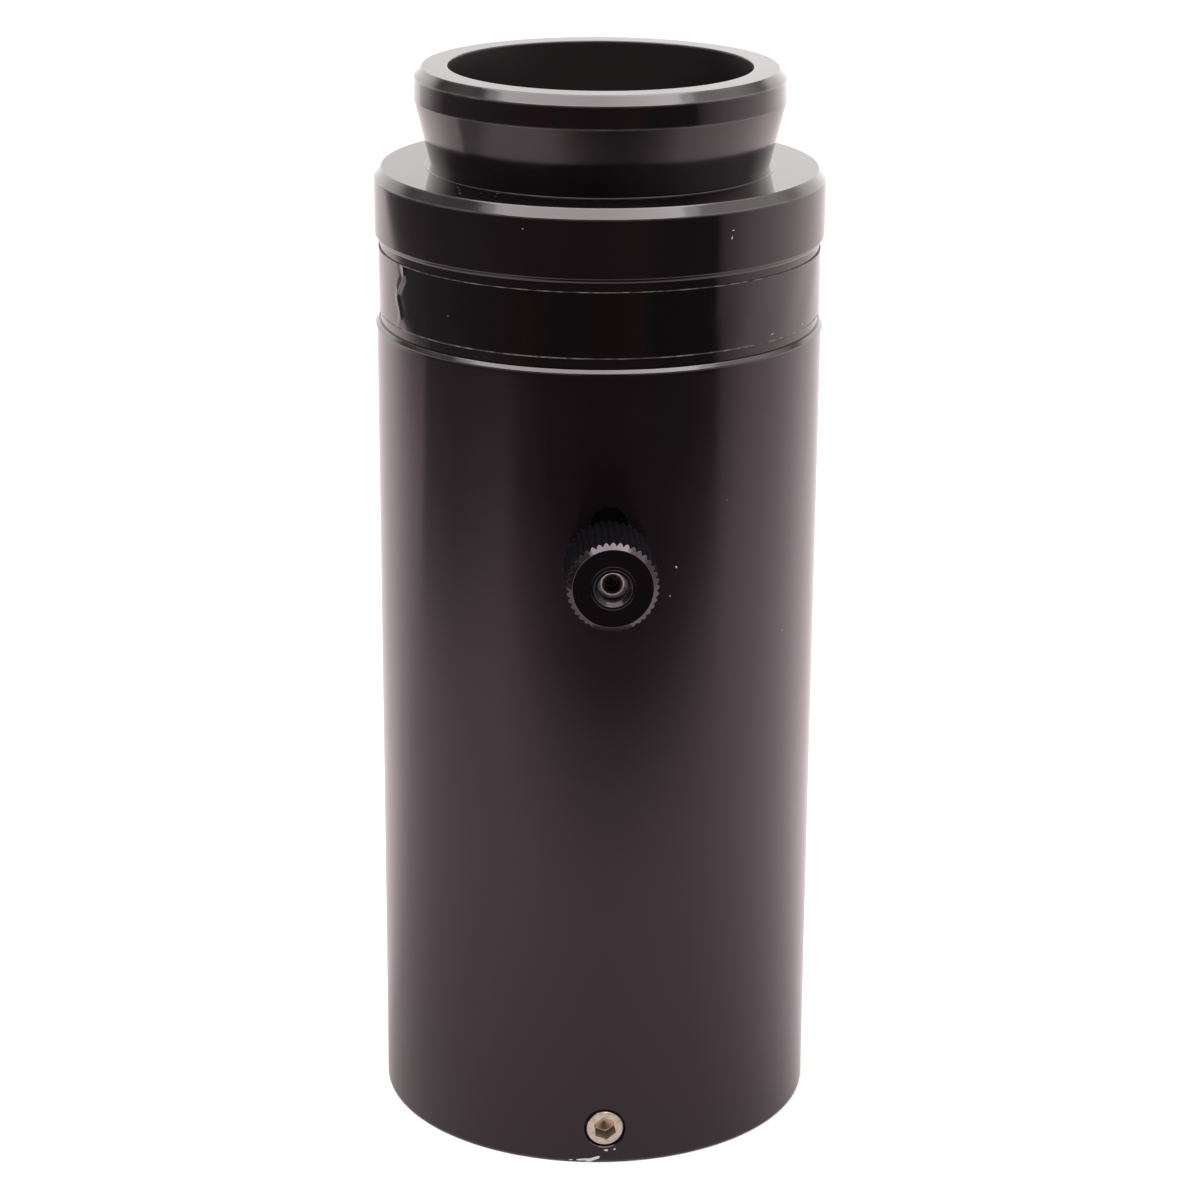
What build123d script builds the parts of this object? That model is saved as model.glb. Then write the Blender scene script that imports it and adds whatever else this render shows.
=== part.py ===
from build123d import *
import math
import os

# Zoom lens rear adapter, in millimetres.
# The optical axis is Z, z = 0 is the face of the camera end, and the clamp knob points along -Y.

INCH = 25.4

# Body tube, turned from 1.5 in bar
TUBE_R = 0.75 * INCH
TUBE_TOP = 70.6
COUPLER_R = 15.0
COUPLER_DEPTH = 20.0
COUPLER_LEAD_IN = 0.3
BORE_R = 14.5

# Screwed joint between the tube and the head
SPIGOT_R = 16.4
SPIGOT_LENGTH = 8.0
SPIGOT_FIT = 0.05
SPIGOT_END_GAP = 0.2

# Head: lip, label seat and flange
LIP_R = 19.18
LIP_HEIGHT = 0.6
LIP_BEVEL_TOP = 71.45
SEAT_R = 18.75
SEAT_TOP = 78.4
FLANGE_R = 19.17
FLANGE_EDGE = 83.62
FLANGE_TOP = 84.43
FLANGE_TOP_R = 18.54

# Head: dovetail ring
CONE_ROOT_R = 14.33
RIM_R = 15.72
RIM_LOWER = 90.15
RIM_EDGE = 92.04
TOP = 92.83
TOP_FACE_R = 15.04
HEAD_BORE_R = 12.87

# Label film, wrapped once round its seat with a narrow butt gap at the back
LABEL_LOWER = 72.13
LABEL_UPPER = 77.67
LABEL_THICKNESS = 0.1
LABEL_GAP = 0.4

# Clamp: number 4-40 stud, knurled thumb nut and saddle washer
CLAMP_Z = 55.0
STUD_R = 0.112 * INCH / 2
STUD_LENGTH = 0.5 * INCH
STUD_OUTER_END = 24.57
STUD_SOCKET_FLATS = 0.05 * INCH
STUD_SOCKET_DEPTH = 1.6
STUD_SOCKET_TURN = 30
STUD_END_CHAMFER = 0.4
STUD_FIT = 0.03
KNOB_R = 3.75
KNOB_INNER_END = 19.38
KNOB_FACE = 25.9
KNOB_FACE_R = 3.26
KNOB_TEETH = 40
TOOTH_DEPTH = 0.25
KNOB_SINK_R = 1.55
KNOB_SINK_DEPTH = 0.3
KNOB_MOUTH_R = 1.25
KNOB_MOUTH_DEPTH = 0.9
WASHER_R = 3.2
WASHER_HOLE_R = 1.5
WASHER_SADDLE_R = 19.13
WASHER_OUTER_FACE = 19.34
SLOT_WIDTH = 3.0
CARRIER_RISE = 3.3
CARRIER_DROP = 1.1

# Coupler clamp: number 6-32 set screw and brass pad
SCREW_Z = 3.28
SCREW_R = 0.138 * INCH / 2
SCREW_LENGTH = 0.125 * INCH
SCREW_OUTER_END = 19.0
SCREW_SOCKET_FLATS = 0.0625 * INCH
SCREW_SOCKET_DEPTH = 1.5
SCREW_SOCKET_TURN = 39
SCREW_END_CHAMFER = 0.12
SCREW_HOLE_R = 1.8
SCREW_SINK_R = 1.88
PAD_R = 1.7
PAD_INNER_FACE = 15.05
PAD_THICKNESS = 0.75

# Lens carrier, a running fit in the tube's bore
CARRIER_FIT = 0.03
CARRIER_LOWER = 34.8
CARRIER_UPPER = 58.8
LENS_SHOULDER = 39.3
SHOULDER_R = 6.9
STUD_HOLE_END = 11.77

# Glass: each surface's radius is positive where it bulges upwards
LENS_R = 7.5
LENS_FIT = 0.05
REAR_CURVES = (50.0, -40.0, math.inf)
REAR_THICKNESS = (4.0, 1.6)
FRONT_CURVES = (60.0, -45.0, -150.0)
FRONT_THICKNESS = (4.0, 1.8)

# Glare stop, spacer and retaining ring
RING_R = 6.9
SPACER_LENGTH = 4.5
STOP_THICKNESS = 0.3
STOP_APERTURE_R = 6.1
RETAINER_HEIGHT = 2.0
SPANNER_SLOT = (1.2, 0.8)


def turned(outline):
    """Solid of revolution about Z from a closed outline of (radius, height) points."""
    section = make_face(Polyline([(r, 0, z) for r, z in outline], close=True))
    return revolve(section, Axis.Z)


def outward(height):
    """Place for a piece made along +Z, so that it points out of the tube along -Y at this height."""
    return Plane(origin=(0, 0, height), x_dir=(1, 0, 0), z_dir=(0, -1, 0)).location


def round_bar(radius, start, end):
    """Plain cylinder on the Z axis from start to end."""
    return turned([(0, start), (radius, start), (radius, end), (0, end)])


def body_tube():
    """Outer tube: coupler bore, carrier bore, counterbore for the head, slot and screw hole."""
    counterbore_floor = TUBE_TOP - SPIGOT_LENGTH - SPIGOT_END_GAP
    tube = turned([
        (COUPLER_R + COUPLER_LEAD_IN, 0),
        (TUBE_R, 0),
        (TUBE_R, TUBE_TOP),
        (SPIGOT_R + SPIGOT_FIT, TUBE_TOP),
        (SPIGOT_R + SPIGOT_FIT, counterbore_floor),
        (BORE_R, counterbore_floor),
        (BORE_R, COUPLER_DEPTH),
        (COUPLER_R, COUPLER_DEPTH),
        (COUPLER_R, COUPLER_LEAD_IN),
    ])
    slot = SlotOverall(CARRIER_RISE + CARRIER_DROP + SLOT_WIDTH, SLOT_WIDTH, rotation=90)
    slot_middle = CLAMP_Z + (CARRIER_RISE - CARRIER_DROP) / 2
    tube -= outward(slot_middle) * extrude(slot, 2 * TUBE_R)
    sink = SCREW_SINK_R - SCREW_HOLE_R
    hole = round_bar(SCREW_HOLE_R, 0, 2 * TUBE_R) + turned([
        (0, TUBE_R - 2 * sink),
        (SCREW_HOLE_R, TUBE_R - 2 * sink),
        (SCREW_SINK_R, TUBE_R - sink),
        (SCREW_SINK_R, 2 * TUBE_R),
        (0, 2 * TUBE_R),
    ])
    return tube - outward(SCREW_Z) * hole


def dovetail_head():
    """Head, one turned piece: spigot, lip, label seat, flange and dovetail ring."""
    spigot_end = TUBE_TOP - SPIGOT_LENGTH
    return turned([
        (HEAD_BORE_R, spigot_end),
        (SPIGOT_R, spigot_end),
        (SPIGOT_R, TUBE_TOP),
        (LIP_R, TUBE_TOP),
        (LIP_R, TUBE_TOP + LIP_HEIGHT),
        (SEAT_R, LIP_BEVEL_TOP),
        (SEAT_R, SEAT_TOP),
        (FLANGE_R, SEAT_TOP),
        (FLANGE_R, FLANGE_EDGE),
        (FLANGE_TOP_R, FLANGE_TOP),
        (CONE_ROOT_R, FLANGE_TOP),
        (RIM_R, RIM_LOWER),
        (RIM_R, RIM_EDGE),
        (TOP_FACE_R, TOP),
        (HEAD_BORE_R, TOP),
    ])


def label_band():
    """Label film round its seat."""
    film_r = SEAT_R + LABEL_THICKNESS
    band = turned([
        (SEAT_R, LABEL_LOWER),
        (film_r, LABEL_LOWER),
        (film_r, LABEL_UPPER),
        (SEAT_R, LABEL_UPPER),
    ])
    butt_gap = Pos(0, TUBE_R, LABEL_LOWER) * Box(LABEL_GAP, TUBE_R, TUBE_R)
    return band - butt_gap


def set_screw(radius, start, end, end_chamfer, flats, depth, turn):
    """Flat point socket set screw along +Z, with its hexagon socket in the far end."""
    point_r = 0.7 * radius
    blank = turned([
        (0, start),
        (point_r, start),
        (radius, start + radius - point_r),
        (radius, end - end_chamfer),
        (radius - end_chamfer, end),
        (0, end),
    ])
    corner_r = flats / 2 / math.cos(math.pi / 6)
    mouth_r = corner_r + 0.07
    hexagon = RegularPolygon(flats / 2, 6, major_radius=False, rotation=turn)
    socket = extrude(Pos(0, 0, end - depth) * hexagon, depth)
    socket += turned([(0, end), (mouth_r, end), (0, end - mouth_r)])
    return blank - socket


def clamp_stud():
    """Stud that is screwed into the lens carrier and carries the knob."""
    stud = set_screw(STUD_R, STUD_OUTER_END - STUD_LENGTH, STUD_OUTER_END, STUD_END_CHAMFER,
                     STUD_SOCKET_FLATS, STUD_SOCKET_DEPTH, STUD_SOCKET_TURN)
    return outward(CLAMP_Z) * stud


def coupler_set_screw():
    """Set screw that clamps a coupler in the lower bore."""
    screw = set_screw(SCREW_R, SCREW_OUTER_END - SCREW_LENGTH, SCREW_OUTER_END, SCREW_END_CHAMFER,
                      SCREW_SOCKET_FLATS, SCREW_SOCKET_DEPTH, SCREW_SOCKET_TURN)
    return outward(SCREW_Z) * screw


def coupler_screw_pad():
    """Brass pad between the set screw and the coupler."""
    return outward(SCREW_Z) * round_bar(PAD_R, PAD_INNER_FACE, PAD_INNER_FACE + PAD_THICKNESS)


def knurl_outline():
    """Points round the straight knurl: a tip and a root for each tooth."""
    points = []
    for step in range(2 * KNOB_TEETH):
        angle = step * math.pi / KNOB_TEETH
        radius = KNOB_R - TOOTH_DEPTH * (step % 2)
        points.append((radius * math.cos(angle), radius * math.sin(angle)))
    return points


def clamp_knob():
    """Knurled thumb nut: bevelled front edge, countersunk tapped hole, toothed all round."""
    face_bevel = KNOB_R - KNOB_FACE_R
    bore_r = STUD_R + STUD_FIT
    blank = turned([
        (bore_r, KNOB_INNER_END),
        (KNOB_R, KNOB_INNER_END),
        (KNOB_R, KNOB_FACE - face_bevel),
        (KNOB_FACE_R, KNOB_FACE),
        (KNOB_SINK_R, KNOB_FACE),
        (KNOB_MOUTH_R, KNOB_FACE - KNOB_SINK_DEPTH),
        (KNOB_MOUTH_R, KNOB_FACE - KNOB_MOUTH_DEPTH),
        (bore_r, KNOB_FACE - KNOB_MOUTH_DEPTH),
    ])
    knurl = make_face(Polyline(knurl_outline(), close=True))
    teeth = extrude(Pos(0, 0, KNOB_INNER_END) * knurl, KNOB_FACE - KNOB_INNER_END)
    return outward(CLAMP_Z) * (blank & teeth)


def saddle_washer():
    """Washer with a flat outer face and an inner face hollowed to the tube."""
    disc = round_bar(WASHER_R, TUBE_R / 2, WASHER_OUTER_FACE)
    disc -= round_bar(WASHER_HOLE_R, 0, 2 * TUBE_R)
    return outward(CLAMP_Z) * disc - round_bar(WASHER_SADDLE_R, 0, TOP)


def sag(curve, r):
    """How far a spherical surface has dropped at distance r from its axis."""
    if math.isinf(curve):
        return 0.0
    return curve - math.copysign(math.sqrt(curve ** 2 - r ** 2), curve)


def ball(vertex, curve):
    """Ball with this vertex on the optical axis. Its poles lie to the side of the lens."""
    return Pos(0, 0, vertex - curve) * Rot(90, 0, 0) * Sphere(abs(curve))


def lens_element(upper, upper_curve, lower, lower_curve):
    """One glass element between two surfaces, each given by its vertex height and radius."""
    highest = upper if math.isinf(upper_curve) else upper + LENS_R
    lowest = lower if math.isinf(lower_curve) else lower - LENS_R
    glass = round_bar(LENS_R, lowest, highest)
    for vertex, curve, side in ((upper, upper_curve, 1), (lower, lower_curve, -1)):
        if math.isinf(curve):
            continue
        if side * curve > 0:
            glass &= ball(vertex, curve)
        else:
            glass -= ball(vertex, curve)
    return glass


def doublet(lower, curves, thickness):
    """Cemented pair, stacked up from its lowest vertex: the upper and then the lower element."""
    joint = lower + thickness[1]
    upper = joint + thickness[0]
    return (lens_element(upper, curves[0], joint, curves[1]),
            lens_element(joint, curves[1], lower, curves[2]))


def contact_height(vertex, curve, inner_r):
    """Height at which a flat ring touches a lens surface with its inner edge."""
    return vertex - sag(curve, inner_r)


# Stack of lenses and rings, from the carrier's shoulder upwards
REAR_TOP = LENS_SHOULDER + sum(REAR_THICKNESS)
STOP_LOWER = contact_height(REAR_TOP, REAR_CURVES[0], STOP_APERTURE_R)
SPACER_LOWER = STOP_LOWER + STOP_THICKNESS
SPACER_UPPER = SPACER_LOWER + SPACER_LENGTH
FRONT_BOTTOM = SPACER_UPPER + sag(FRONT_CURVES[2], RING_R)
FRONT_TOP = FRONT_BOTTOM + sum(FRONT_THICKNESS)
RETAINER_LOWER = contact_height(FRONT_TOP, FRONT_CURVES[0], RING_R)


def ring(inner_r, lower, height):
    """Loose ring that fits the lens seat."""
    return turned([
        (inner_r, lower),
        (LENS_R, lower),
        (LENS_R, lower + height),
        (inner_r, lower + height),
    ])


def lens_retaining_ring():
    """Screwed ring above the front lens, with two spanner slots."""
    width, depth = SPANNER_SLOT
    upper = RETAINER_LOWER + RETAINER_HEIGHT
    blank = ring(RING_R, RETAINER_LOWER, RETAINER_HEIGHT)
    return blank - Pos(0, 0, upper) * Box(4 * LENS_R, width, 2 * depth)


def lens_carrier():
    """Sliding lens cell: plain outside, lens bore with a shoulder, tapped hole for the stud."""
    outer_r = BORE_R - CARRIER_FIT
    seat_r = LENS_R + LENS_FIT
    carrier = turned([
        (SHOULDER_R, CARRIER_LOWER),
        (outer_r, CARRIER_LOWER),
        (outer_r, CARRIER_UPPER),
        (seat_r, CARRIER_UPPER),
        (seat_r, LENS_SHOULDER),
        (SHOULDER_R, LENS_SHOULDER),
    ])
    hole_r = STUD_R + STUD_FIT
    return carrier - outward(CLAMP_Z) * round_bar(hole_r, STUD_HOLE_END, TUBE_R)


def all_parts():
    """Every piece under its own name."""
    front_upper, front_lower = doublet(FRONT_BOTTOM, FRONT_CURVES, FRONT_THICKNESS)
    rear_upper, rear_lower = doublet(LENS_SHOULDER, REAR_CURVES, REAR_THICKNESS)
    return {
        "body_tube": body_tube(),
        "dovetail_head": dovetail_head(),
        "label_band": label_band(),
        "clamp_knob": clamp_knob(),
        "clamp_stud": clamp_stud(),
        "saddle_washer": saddle_washer(),
        "coupler_set_screw": coupler_set_screw(),
        "coupler_screw_pad": coupler_screw_pad(),
        "lens_carrier": lens_carrier(),
        "lens_retaining_ring": lens_retaining_ring(),
        "front_lens_convex": front_upper,
        "front_lens_concave": front_lower,
        "lens_spacer": ring(RING_R, SPACER_LOWER, SPACER_LENGTH),
        "glare_stop": ring(STOP_APERTURE_R, STOP_LOWER, STOP_THICKNESS),
        "rear_lens_convex": rear_upper,
        "rear_lens_concave": rear_lower,
    }


os.makedirs("parts", exist_ok=True)
for name, part in all_parts().items():
    export_step(part, f"parts/{name}.step")
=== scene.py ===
"""Looks of the zoom lens rear adapter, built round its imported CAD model.

The file is laid out as an add-on and run as a script. Every piece of the adapter has its own
operator, its sizes and colours are scene properties, and lengths are in metres in Blender.
The optical axis is Z, the adapter stands on z = 0, and the clamp knob points along -Y.
"""
import math
import random

import bmesh
import bpy
from bpy.props import FloatProperty, FloatVectorProperty, IntProperty, PointerProperty
from bpy.types import Operator, Panel, PropertyGroup
from mathutils import Matrix, Vector


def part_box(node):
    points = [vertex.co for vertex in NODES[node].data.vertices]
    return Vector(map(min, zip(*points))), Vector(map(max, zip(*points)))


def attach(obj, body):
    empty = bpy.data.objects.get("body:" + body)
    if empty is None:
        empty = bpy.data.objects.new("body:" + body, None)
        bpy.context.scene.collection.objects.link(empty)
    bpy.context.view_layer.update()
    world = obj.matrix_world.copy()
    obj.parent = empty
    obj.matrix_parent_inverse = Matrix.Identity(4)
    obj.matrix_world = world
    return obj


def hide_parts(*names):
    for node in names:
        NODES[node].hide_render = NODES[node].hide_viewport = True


bl_info = {
    "name": "Zoom lens rear adapter",
    "version": (1, 0, 0),
    "blender": (4, 5, 0),
    "location": "View3D > Sidebar > Adapter",
    "description": "Builds the turned, knurled and clamped pieces of a zoom lens rear adapter",
    "category": "Object",
}

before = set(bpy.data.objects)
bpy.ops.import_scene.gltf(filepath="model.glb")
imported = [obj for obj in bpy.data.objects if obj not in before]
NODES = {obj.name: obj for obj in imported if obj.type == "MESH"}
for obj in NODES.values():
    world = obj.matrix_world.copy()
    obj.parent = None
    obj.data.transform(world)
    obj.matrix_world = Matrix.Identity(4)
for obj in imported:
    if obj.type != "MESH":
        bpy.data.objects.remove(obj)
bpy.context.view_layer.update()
TUBE_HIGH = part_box("body_tube")[1]
HEAD_LOW, HEAD_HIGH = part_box("dovetail_head")
LABEL_LOW, LABEL_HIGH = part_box("label_band")
KNOB_LOW, KNOB_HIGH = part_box("clamp_knob")
STUD_LOW, STUD_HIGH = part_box("clamp_stud")
SCREW_LOW, SCREW_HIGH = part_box("coupler_set_screw")

MM = 0.001
TURN = 2 * math.pi
SEGMENTS = 384  # steps round a large turned piece
ARC_STEPS = 4  # steps across a rounding
GUARD = 0.12 * MM  # distance of the points that keep a flat even beside a rounding
SHARP_ANGLE = math.radians(28)
WEAR = "edge_wear"  # attribute that says where an edge is rubbed
CLAMP_HEIGHT = (KNOB_LOW.z + KNOB_HIGH.z) / 2
SCREW_HEIGHT = (SCREW_LOW.z + SCREW_HIGH.z) / 2


def linear(hex_colour):
    """Linear colour of an sRGB hex value."""
    channels = [int(hex_colour[i:i + 2], 16) / 255 for i in (0, 2, 4)]
    return tuple(c / 12.92 if c <= 0.04045 else ((c + 0.055) / 1.055) ** 2.4 for c in channels)


def length(name, description, default):
    """Length property, its default in metres."""
    return FloatProperty(name=name, description=description, default=default, min=0.0,
                         precision=5, unit="LENGTH", subtype="DISTANCE")


def rotation(name, description, default):
    """Rotation property, its default in radians."""
    return FloatProperty(name=name, description=description, default=default, unit="ROTATION",
                         subtype="ANGLE")


def colour(name, description, hex_colour):
    """Colour property, its default an sRGB hex value."""
    return FloatVectorProperty(name=name, description=description, default=linear(hex_colour),
                               size=3, min=0.0, max=1.0, subtype="COLOR")


class TubeSizes(PropertyGroup):
    radius: length("Radius", "Outside radius of the tube", TUBE_HIGH.x)
    height: length("Height", "Height of the tube's top edge", TUBE_HIGH.z)
    coupler_radius: length("Coupler bore", "Radius of the bore for the coupler", 15.0 * MM)
    coupler_depth: length("Coupler depth", "Depth of the coupler bore", 20.0 * MM)
    bore_radius: length("Carrier bore", "Radius of the lens carrier's bore", 14.5 * MM)
    joint_radius: length("Joint bore", "Radius of the counterbore for the head", 16.45 * MM)
    joint_floor: length("Joint floor", "Height of the counterbore's floor", 62.4 * MM)
    edge: length("Edge break", "Rounding of the lower edge", 0.16 * MM)
    slot_height: length("Slot", "Height of the middle of the clamp's slot", CLAMP_HEIGHT + 1.1 * MM)
    slot_width: length("Slot width", "Width of the clamp's slot", 3.0 * MM)
    slot_travel: length("Slot travel", "How far the stud moves each way", 2.2 * MM)
    screw_height: length("Screw", "Height of the set screw's hole", 3.28 * MM)
    screw_hole: length("Screw hole", "Radius of the set screw's hole", 1.8 * MM)
    screw_sink: length("Screw sink", "Radius of the hole's worn mouth", 1.88 * MM)


class HeadSizes(PropertyGroup):
    bore_radius: length("Bore", "Radius of the bore", 12.87 * MM)
    spigot_radius: length("Spigot", "Radius of the joint's spigot", 16.4 * MM)
    lip_radius: length("Lip", "Radius of the rolled lip", HEAD_HIGH.x)
    lip_height: length("Lip height", "Height of the lip's wall above the tube", 0.41 * MM)
    lip_bevel: length("Lip bevel", "Width and height of the bevel above that wall", 0.27 * MM)
    lip_undercut: length("Lip undercut", "Height of the slope below the lip's wall", 0.14 * MM)
    seat_radius: length("Label seat", "Radius under the label", 18.75 * MM)
    seat_top: length("Seat top", "Height of the flange's underside", 78.4 * MM)
    flange_radius: length("Flange", "Radius of the flange", 19.17 * MM)
    flange_lower_radius: length("Flange underside", "Radius of its underside", 18.98 * MM)
    flange_lower_height: length("Lower step", "Height of the step at the underside", 0.46 * MM)
    flange_edge: length("Flange edge", "Height where the upper bevel starts", 83.62 * MM)
    flange_top: length("Flange top", "Height of the flange's face", 84.43 * MM)
    flange_top_radius: length("Flange face", "Radius of the flange's face", 18.54 * MM)
    land_radius: length("Root land", "Radius of the low step round the cone's root", 14.85 * MM)
    land_height: length("Land height", "Height of the step round the cone's root", 0.06 * MM)
    cone_radius: length("Cone root", "Radius of the dovetail's root", 14.33 * MM)
    rim_radius: length("Rim", "Radius of the dovetail's rim", 15.72 * MM)
    rim_bottom: length("Rim bottom", "Height of the rim's lower edge", 90.15 * MM)
    rim_edge: length("Rim edge", "Height where the rim's bevel starts", 92.04 * MM)
    face_radius: length("Top face", "Outer radius of the top face", 15.04 * MM)


class LabelSizes(PropertyGroup):
    thickness: length("Film thickness", "Thickness of the label film", 0.1 * MM)
    gap: length("Butt gap", "Gap between the film's ends, at the back", 0.4 * MM)
    ripple: length("Ripple", "How far the film stands off its seat in ripples", 0.022 * MM)
    crease: length("Crease", "Height of the crease near the left end", 0.09 * MM)


class KnobSizes(PropertyGroup):
    radius: length("Radius", "Radius over the teeth", KNOB_HIGH.x)
    inner_end: length("Inner end", "Distance of its back from the axis", -KNOB_HIGH.y)
    face: length("Face", "Distance of its face from the axis", -KNOB_LOW.y)
    face_radius: length("Face radius", "Radius of the flat face", 3.29 * MM)
    tooth_depth: length("Tooth depth", "Depth of the knurl", 0.25 * MM)
    teeth: IntProperty(name="Teeth", description="Teeth of the straight knurl", default=40, min=3)
    sink_radius: length("Countersink", "Radius of the countersink", 1.55 * MM)
    sink_depth: length("Countersink depth", "Depth of the countersink", 0.3 * MM)
    mouth_radius: length("Tapped hole", "Radius of the tapped hole's mouth", 1.25 * MM)
    bore_radius: length("Bore", "Clear radius round the stud", 1.45 * MM)
    mouth_depth: length("Mouth depth", "Depth of the narrow mouth", 0.9 * MM)


class ScrewSizes(PropertyGroup):
    stud_radius: length("Stud", "Outside radius of the stud's thread", STUD_HIGH.x)
    stud_end: length("Stud end", "Distance of the stud's end from the axis", -STUD_LOW.y)
    stud_pitch: length("Stud pitch", "Pitch of the stud's thread", 25.4 / 40 * MM)
    stud_flats: length("Stud socket", "Width across the stud's socket flats", 1.27 * MM)
    stud_mouth: length("Stud mouth", "Radius of the countersink at the stud's socket", 0.85 * MM)
    stud_depth: length("Stud socket depth", "Depth of the stud's socket", 1.3 * MM)
    stud_chamfer: length("Stud chamfer", "Chamfer round the stud's end", 0.4 * MM)
    stud_lip: length("Stud lip", "Rounding of the stud's end ring", 0.1 * MM)
    screw_radius: length("Set screw", "Outside radius of the set screw's thread", SCREW_HIGH.x)
    screw_end: length("Set screw end", "Distance of the screw's end from the axis", -SCREW_LOW.y)
    screw_pitch: length("Screw pitch", "Pitch of the set screw's thread", 25.4 / 32 * MM)
    screw_flats: length("Screw socket", "Width across the set screw's socket flats", 1.5875 * MM)
    screw_mouth_flats: length("Screw mouth", "Width across the mouth of its socket", 1.84 * MM)
    screw_depth: length("Screw socket depth", "Depth of the set screw's socket", 1.2 * MM)
    screw_chamfer: length("Screw chamfer", "Chamfer round the set screw's end", 0.17 * MM)
    screw_lip: length("Screw lip", "Rounding between its chamfer and face", 0.10 * MM)
    stud_turn: rotation("Stud turn", "Turn of the stud's socket", math.radians(30))
    screw_turn: rotation("Screw turn", "Turn of the set screw's socket", math.radians(39))


class Finishes(PropertyGroup):
    anodise: colour("Black anodising", "Dyed oxide film on the tube and the knob's face", "080507")
    head: colour("Head anodising", "Dyed oxide film on the head", "0d090b")
    bore: colour("Bore anodising", "Duller oxide film inside the head", "151112")
    knob: colour("Knob anodising", "Duller oxide film on the knurl", "09090c")
    film: colour("Label film", "Glossy black label film", "070607")
    # Pale cut edge of the film, lightened further as a painted highlight along it.
    film_edge: colour("Film edge", "Cut edge of the label film", "8d8a88")
    bare: colour("Bare aluminium", "Metal shown by chips and nicks", "d8d2cc")
    alloy_steel: colour("Alloy steel", "Worn stud", "d9caca")
    alloy_socket: colour("Stud socket", "Oily socket of the stud", "6e564c")
    stainless: colour("Stainless steel", "Set screw", "f2e8d6")
    steel_socket: colour("Screw socket", "Dirty socket of the set screw", "f2d6bc")
    brass: colour("Brass", "Pad ahead of the set screw", "d2ae6d")
    nylon: colour("Nylon", "Saddle washer", "1b1b1e")
    matte: colour("Matte anodising", "Lens carrier and its rings", "2a282b")
    coating: colour("Lens coating", "Tint of the coated glass", "e9f4ee")


class StageSettings(PropertyGroup):
    distance: length("Distance", "Distance of the camera from the optical axis", 278.67 * MM)
    height: length("Height", "Height of the camera above the floor", 138.30 * MM)
    azimuth: rotation("Azimuth", "Camera's place left of the knob", math.radians(2.8))
    pitch: rotation("Pitch", "How far the camera looks down", 0.32162)
    roll: rotation("Roll", "Turn of the camera about its view", 0.00615)
    focal: FloatProperty(name="Focal length", description="Focal length on a 36 mm sensor",
                         default=99.6, unit="CAMERA")
    shift: FloatProperty(name="Shift", description="Sideways shift of the picture", default=0.0022)
    floor: colour("Floor", "Pale seamless paper", "e9e8e6")
    sky: colour("Room light", "Soft light from all round", "ffffff")
    softbox: FloatProperty(name="Softbox", description="Power of the light overhead, in watts",
                           default=9.5, min=0.0, unit="POWER")


class AdapterSettings(PropertyGroup):
    tube: PointerProperty(type=TubeSizes)
    head: PointerProperty(type=HeadSizes)
    label: PointerProperty(type=LabelSizes)
    knob: PointerProperty(type=KnobSizes)
    screws: PointerProperty(type=ScrewSizes)
    finishes: PointerProperty(type=Finishes)
    stage: PointerProperty(type=StageSettings)


def settings():
    """The adapter's own properties on the scene."""
    return bpy.context.scene.rear_adapter


# Meshes


def outward(height):
    """Turns a piece made along +Z so that it points out of the tube along -Y at this height."""
    return Matrix(((1, 0, 0, 0), (0, 0, -1, 0), (0, 1, 0, height), (0, 0, 0, 1)))


def rounded(corners):
    """Outline through (radius, height, rounding) corners, as (radius, height, wear) points. A
    rounding is an arc with wear 1, and a guard point on each side of it keeps the flats flat."""
    outline = []
    for index, (radius, height, rounding) in enumerate(corners):
        corner = Vector((radius, height))
        if not rounding:
            outline.append((radius, height, 0.0))
            continue
        sides = [Vector(corners[place % len(corners)][:2]) - corner
                 for place in (index - 1, index + 1)]
        back, ahead = (side.normalized() for side in sides)
        half = back.angle(ahead) / 2
        reach = rounding / math.tan(half)
        centre = corner + (back + ahead).normalized() * (rounding / math.sin(half))
        start, end = corner + back * reach - centre, corner + ahead * reach - centre
        arc = [centre + start.slerp(end, step / ARC_STEPS) * rounding
               for step in range(ARC_STEPS + 1)]
        guards = [corner + side.normalized() * (reach + min(GUARD, side.length / 5))
                  for side in sides]
        outline += [(*guards[0], 0.0), *((*point, 1.0) for point in arc), (*guards[1], 0.0)]
    return outline


def ring(radius, height, segments=SEGMENTS):
    """Ring of points. The radius is a number or a function of the angle, and so is the height."""
    points = []
    for step in range(segments):
        angle = TURN * step / segments
        r = radius(angle) if callable(radius) else radius
        z = height(angle) if callable(height) else height
        points.append(Vector((r * math.cos(angle), r * math.sin(angle), z)))
    return points


def closed_mesh(name, points, faces):
    """Mesh whose faces all look outwards."""
    mesh = bpy.data.meshes.new(name)
    mesh.from_pydata(points, [], faces)
    work = bmesh.new()
    work.from_mesh(mesh)
    bmesh.ops.recalc_face_normals(work, faces=work.faces)
    work.to_mesh(mesh)
    work.free()
    return mesh


def rings_of(profile, steps):
    """Rings of points, and the wear of each, from a profile of (radius, height, wear)."""
    return [ring(radius, height, steps) for radius, height, wear in profile], [
        wear for radius, height, wear in profile]


def skin(name, rings, wear=()):
    """Mesh through rings of points. Where wear says how rubbed each ring is, from 0 to 1, the rings
    lead back to the first one. Otherwise the mesh ends in flat caps."""
    count = len(rings[0])
    points = [point for row in rings for point in row]
    faces = []
    for row in range(len(rings) if wear else len(rings) - 1):
        here, there = row * count, (row + 1) % len(rings) * count
        for step in range(count):
            after = (step + 1) % count
            faces.append((here + step, here + after, there + after, there + step))
    if not wear:
        faces += [tuple(range(count)), tuple(range(len(points) - count, len(points)))]
    mesh = closed_mesh(name, points, faces)
    if wear:
        rubbed = [value for value in wear for step in range(count)]
        mesh.attributes.new(WEAR, "FLOAT", "POINT").data.foreach_set("value", rubbed)
    return mesh


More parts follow.
